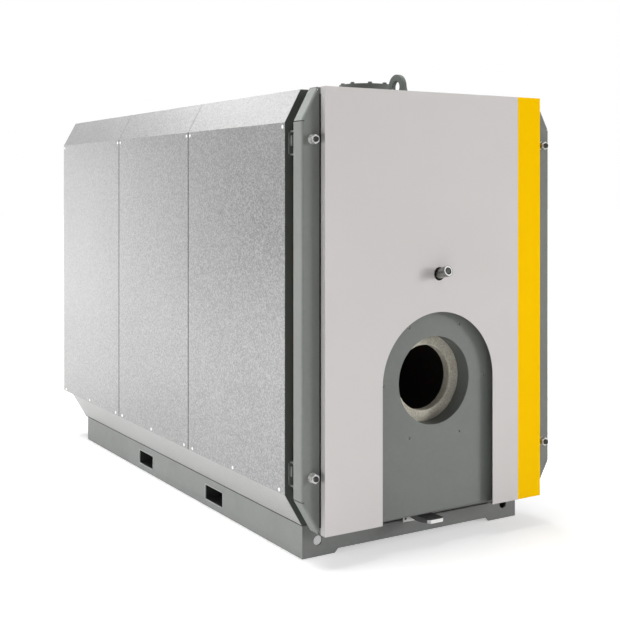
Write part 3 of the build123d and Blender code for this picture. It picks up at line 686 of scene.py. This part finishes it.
def roof_screws():
    """Places and directions of the screws in the roof panels."""
    spots = []
    for place in PLACES:
        low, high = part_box(f"roof_panel_{place}")
        for x in (low.x + ROOF_ROW_MARGIN, high.x - ROOF_ROW_MARGIN):
            for y in (low.y + ROOF_ROW_MARGIN, (low.y + high.y) / 2, high.y - ROOF_ROW_MARGIN):
                spots.append(((x, y, high.z), (0, 0, 1)))
    return spots


def rear_screws():
    """Places and directions of the screws round the edge of the rear panel."""
    low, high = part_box("rear_panel")
    roof_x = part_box("roof_panel_rear")[1].x - REAR_ROW_INSET
    side_x = high.x - REAR_ROW_INSET
    top = high.z - REAR_ROW_INSET
    bottom = low.z + REAR_ROW_INSET
    spots = [(x, high.y, z) for x in row(-roof_x, roof_x) for z in (top, bottom)]
    spots += [(x, high.y, z) for z in row(bottom, high.z - ROOF_BEVEL_DROP) for x in (-side_x, side_x)]
    return [(spot, (0, 1, 0)) for spot in spots]


def row(start, end):
    """Evenly spaced values from start to end, no more than the rear row's pitch apart."""
    count = math.ceil((end - start) / REAR_ROW_PITCH)
    return [start + (end - start) * step / count for step in range(count + 1)]


def flange_bolts(name, cover):
    """Bolts through a water flange and its cover, with washers, nuts and chamfered ends."""
    low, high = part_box(cover)
    centre = (low + high) / 2
    under = low.z - FLANGE_THICKNESS
    nut_z = under - BOLT_WASHER - BOLT_NUT
    washer_profile = [(BOLT_RADIUS, 0), (BOLT_WASHER_RADIUS, 0), (BOLT_WASHER_RADIUS, BOLT_WASHER),
                      (BOLT_RADIUS, BOLT_WASHER)]
    tip_profile = [(0, 0), (BOLT_TIP_RADIUS, 0), (BOLT_RADIUS, BOLT_CHAMFER), (BOLT_RADIUS, BOLT_SHANK),
                   (0, BOLT_SHANK)]
    washer = to_mesh(lathe(washer_profile, SMALL_STEPS, closed=True), "bolt_washer")
    tip = to_mesh(lathe(tip_profile, SMALL_STEPS), "bolt_tip")
    head = chamfered_hexagon(BOLT_ACROSS, 0, BOLT_HEAD, "bolt_head", nut=False)
    nut = chamfered_hexagon(BOLT_ACROSS, 0, BOLT_NUT, "bolt_nut")
    turned = ((washer, high.z), (washer, under - BOLT_WASHER), (tip, nut_z - BOLT_TIP))
    hexagons = ((head, high.z + BOLT_WASHER), (nut, nut_z))
    pairs = []
    for step in range(BOLT_COUNT):
        turn = math.tau * (step + 0.5) / BOLT_COUNT
        x = centre.x + BOLT_CIRCLE * math.cos(turn)
        y = centre.y + BOLT_CIRCLE * math.sin(turn)
        spin = Matrix.Rotation(turn, 4, "Z")
        pairs += [(shape, Matrix.Translation((x, y, z))) for shape, z in turned]
        pairs += [(shape, Matrix.Translation((x, y, z)) @ spin) for shape, z in hexagons]
    piece(name, pairs, "boiler", "fitting_paint")


def clamp_places():
    """Centres of the four clamp studs on the door's face, from their box."""
    low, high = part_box("clamp_studs")
    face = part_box("door_pan")[0].y
    xs = (low.x + STUD_RADIUS, high.x - STUD_RADIUS)
    zs = (low.z + STUD_RADIUS, high.z - STUD_RADIUS)
    return [Vector((x, face, z)) for x in xs for z in zs]


def clamp_nuts():
    """Hexagon nuts on thick washers, in place of the plain ones."""
    blank = chamfered_hexagon(NUT_ACROSS, WASHER_HEIGHT, WASHER_HEIGHT + NUT_HEIGHT, "clamp_blank")
    bore_profile = [(0, 0), (STUD_RADIUS, 0), (STUD_RADIUS, NUT_BORE_DEPTH), (0, NUT_BORE_DEPTH)]
    bore = to_mesh(lathe(bore_profile), "nut_bore")
    nut = combined(blank, bore, "DIFFERENCE", "clamp_nut")
    profile = [(STUD_RADIUS, 0), (WASHER_RADIUS - WASHER_EDGE, 0), (WASHER_RADIUS, WASHER_EDGE),
               (WASHER_RADIUS, WASHER_HEIGHT - WASHER_EDGE), (WASHER_RADIUS - WASHER_EDGE, WASHER_HEIGHT),
               (STUD_RADIUS, WASHER_HEIGHT)]
    washer = to_mesh(lathe(profile, closed=True), "clamp_washer")
    pairs = [(shape, placed(place, (0, -1, 0))) for place in clamp_places() for shape in (nut, washer)]
    nuts = piece("clamp_nuts_turned", pairs, "door", "zinc_steel", NUT_ZINC)
    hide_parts("clamp_nuts")


def clamp_studs():
    """Threaded studs through the door, in place of the plain ones."""
    low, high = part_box("clamp_studs")
    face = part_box("door_pan")[0].y
    reach = face - low.y
    back = face - high.y
    root = STUD_RADIUS - THREAD_DEPTH
    profile = [(0, back), (STUD_RADIUS, back)]
    height = 0.0
    while height < reach - THREAD_PITCH:
        profile += [(root, height), (STUD_RADIUS, height + THREAD_PITCH / 2)]
        height += THREAD_PITCH
    profile += [(root, reach), (0, reach)]
    stud = to_mesh(lathe(profile), "clamp_stud")
    pairs = [(stud, placed(place, (0, -1, 0))) for place in clamp_places()]
    studs = piece("clamp_studs_threaded", pairs, "door", "zinc_steel", DARK_STEEL)
    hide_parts("clamp_studs")


def cast_throat():
    """Throat ring with a rounded mouth and an uneven cast face, in place of the plain one."""
    low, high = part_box("throat_ring")
    centre = (low + high) / 2
    outer = (high.x - low.x) / 2
    depth = high.y - low.y
    width = outer - THROAT_RADIUS - THROAT_MOUTH
    length = depth - THROAT_MOUTH
    face = [(outer - width * step / THROAT_FACE_STEPS, 0.0) for step in range(THROAT_FACE_STEPS + 1)]
    arc = [(THROAT_RADIUS + THROAT_MOUTH * (1 - math.sin(angle)), THROAT_MOUTH * (1 - math.cos(angle)))
           for angle in MOUTH_ARC]
    wall = [(THROAT_RADIUS, THROAT_MOUTH + length * (step + 1) / THROAT_WALL_STEPS)
            for step in range(THROAT_WALL_STEPS)]
    made = lathe([*face, *arc, *wall, (outer, depth)], THROAT_TURN_STEPS, closed=True)
    for vert in made.verts:
        radius = math.hypot(vert.co.x, vert.co.y)
        if radius < outer - CAST_MARGIN:
            rough = noise.fractal(vert.co * CAST_SCALE, *CAST_OCTAVES) * CAST_DEPTH
            vert.co.z += max(rough + CAST_LIFT, 0) if vert.co.z < depth / 2 else 0
            vert.co.xy *= 1 + max(rough, 0) / radius
    matrix = placed((centre.x, low.y, centre.z), (0, 1, 0))
    ring = piece("throat_ring_cast", [(to_mesh(made, "throat_cast"), matrix)], "door", "refractory")
    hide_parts("throat_ring")


def sight_end():
    """Bright ring and black gasket on the glass at the end of the sight tube."""
    low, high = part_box("sight_glass")
    axis = Vector((0, -math.cos(SIGHT_TILT), math.sin(SIGHT_TILT)))
    front = (low + high) / 2 + axis * SIGHT_GLASS_THICKNESS / 2
    ring = [(BEZEL_INNER, -BEZEL_EDGE), (BEZEL_OUTER, -BEZEL_EDGE), (BEZEL_OUTER, BEZEL_RISE - BEZEL_EDGE),
            (BEZEL_OUTER - BEZEL_EDGE, BEZEL_RISE), (BEZEL_INNER + 2 * BEZEL_EDGE, BEZEL_RISE),
            (BEZEL_INNER, BEZEL_RISE - 2 * BEZEL_EDGE)]
    gasket = [(GASKET_INNER, -BEZEL_EDGE), (BEZEL_INNER, -BEZEL_EDGE), (BEZEL_INNER, GASKET_RISE),
              (GASKET_INNER, GASKET_RISE)]
    for name, profile, finish in (("sight_ring", ring, RING_ZINC), ("sight_gasket", gasket, BLACK_RUBBER_AND_PAINTED_SHADE)):
        mesh = to_mesh(lathe(profile, closed=True), name + "_turned")
        piece(name, [(mesh, placed(front, axis))], "door", "zinc_steel", finish)


def cover_painted_shade_strips():
    """Black strips along both upright sides of the front cover, on the door's face: painted shade for the
    shadow gap beside the cover.
    """
    cover_low, cover_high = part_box("front_cover")
    stripe_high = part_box("cover_stripe")[1]
    pan_low, pan_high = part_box("door_pan")
    depth = (pan_low.y - COVER_SHADE_RISE, pan_low.y)
    height = (max(cover_low.z, pan_low.z) + COVER_SHADE_END, min(cover_high.z, pan_high.z) - COVER_SHADE_END)
    left = block((cover_low.x - COVER_SHADE_WIDTH, cover_low.x), depth, height, "cover_shade_left")
    right = block((stripe_high.x, stripe_high.x + COVER_SHADE_WIDTH), depth, height, "cover_shade_right")
    piece("cover_painted_shade_strips", [(left, IN_PLACE), (right, IN_PLACE)], "door", "door_paint", BLACK_RUBBER_AND_PAINTED_SHADE)


def seam_shade_strips():
    """Black strips in the seams between the side panels: painted shade in the seams."""
    pairs = []
    for side, direction in SIDES:
        boxes = [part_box(f"side_panel_{side}_{place}") for place in PLACES]
        low, high = boxes[0]
        face = low.x if direction < 0 else high.x
        for before, after in zip(boxes, boxes[1:]):
            y = (before[1].y + after[0].y) / 2
            xs = (face - STRIP_RISE, face + STRIP_RISE)
            ys = (y - STRIP_WIDTH / 2, y + STRIP_WIDTH / 2)
            pairs.append((block(xs, ys, side_bends(), "seam_shade_strip"), IN_PLACE))
    piece("seam_shade_strips", pairs, "boiler", "frame_paint", BLACK_RUBBER_AND_PAINTED_SHADE)


def skirt_shade_strips():
    """Black strips in the joints between the skirts and the side beams: painted shade in the joints."""
    pairs = []
    for side, direction in SIDES:
        beam_low, beam_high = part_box(f"base_beam_{side}")
        skirt_low, skirt_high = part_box(f"skirt_{side}")
        face = beam_low.x if direction < 0 else beam_high.x
        xs = (face + direction * SKIRT_SHADE_RISE, face - direction * SKIRT_SHADE_DEPTH)
        ys = (skirt_low.y + SKIRT_SHADE_END, skirt_high.y)
        zs = (beam_high.z - SKIRT_SHADE_LAP, beam_high.z + SKIRT_SHADE_HEIGHT)
        pairs.append((block(xs, ys, zs, "skirt_shade_strip"), IN_PLACE))
    piece("skirt_shade_strips", pairs, "boiler", "frame_paint", BLACK_RUBBER_AND_PAINTED_SHADE)


def studio():
    """Pale surroundings, floor, dark screen and soft lights."""
    world = bpy.data.worlds.new("studio")
    bpy.context.scene.world = world
    world.use_nodes = True
    background = world.node_tree.nodes["Background"].inputs
    nodes = Nodes(world.node_tree)
    rays = nodes.node("ShaderNodeLightPath").outputs
    lit = nodes.span(rays["Is Glossy Ray"], WORLD_LEVEL, GLOSS_LEVEL)
    seen = nodes.maths("MAXIMUM", rays["Is Camera Ray"], rays["Is Transmission Ray"])
    nodes.put(background["Color"], WHITE)
    nodes.put(background["Strength"], nodes.span(seen, lit, 1.0))
    floor()
    dark_screen()
    for name, place, target, size, watts in LIGHTS:
        lamp = bpy.data.lights.new(name, "AREA")
        lamp.shape = "RECTANGLE"
        lamp.size, lamp.size_y = size
        lamp.energy = watts
        holder = linked(name, lamp)
        holder.location = place
        holder.rotation_euler = (Vector(target) - Vector(place)).to_track_quat("-Z", "Y").to_euler()
        holder.visible_glossy = name not in MATT_LIGHTS


def floor():
    """Large matt floor, just under the skid, which reads as white away from the shadow."""
    made = bmesh.new()
    bmesh.ops.create_grid(made, x_segments=1, y_segments=1, size=FLOOR_REACH)
    mesh = to_mesh(made, "floor")
    mesh.transform(Matrix.Translation((0, 0, -FLOOR_DROP)))
    finish = Finish("floor", FLOOR_GREY, FLOOR_ROUGHNESS)
    rays = finish.node("ShaderNodeLightPath").outputs
    behind = finish.span(finish.along(finish.place, "Y"), 0.0, MIRROR_GLOW, *MIRROR_GLOW_SPAN, "SMOOTHSTEP")
    mirrored = finish.maths("MULTIPLY", behind, rays["Is Glossy Ray"])
    apart = finish.node("ShaderNodeVectorMath", {0: finish.place}, operation="LENGTH").outputs["Value"]
    seen = finish.span(apart, *CAMERA_GLOW, *CAMERA_GLOW_SPAN)
    finish.set("Emission Color", WHITE)
    finish.set("Emission Strength", finish.span(rays["Is Camera Ray"], mirrored, seen))
    mesh.materials.append(finish.material)
    ground = linked("floor", mesh)


def dark_screen():
    """Screen behind the left side, off the picture, which the front of that side mirrors."""
    mesh = block(*SCREEN, "flag")
    mesh.materials.append(Finish("flag", SCREEN_GREY, roughness=1.0).material)
    screen = linked("flag", mesh)
    screen.visible_camera = False


def camera():
    """Level camera with a lowered frame, as the upright edges in the photograph are parallel."""
    lens = bpy.data.cameras.new("camera")
    lens.sensor_width = SENSOR_WIDTH
    lens.lens = SENSOR_WIDTH * FOCAL_PIXELS / IMAGE_SIZE
    lens.shift_y = (HORIZON_PIXEL - IMAGE_SIZE / 2) / IMAGE_SIZE
    holder = linked("camera", lens)
    holder.location = CAMERA_PLACE
    holder.rotation_euler = (math.pi / 2, 0, math.radians(-CAMERA_TURN))
    bpy.context.scene.camera = holder


camera()
dress_frame()
casing_screws()
flange_bolts("supply_bolts", "supply_cover")
flange_bolts("return_bolts", "return_cover")
clamp_nuts()
clamp_studs()
cast_throat()
sight_end()
cover_painted_shade_strips()
seam_shade_strips()
skirt_shade_strips()
studio()
bpy.context.scene.view_settings.view_transform = "Standard"
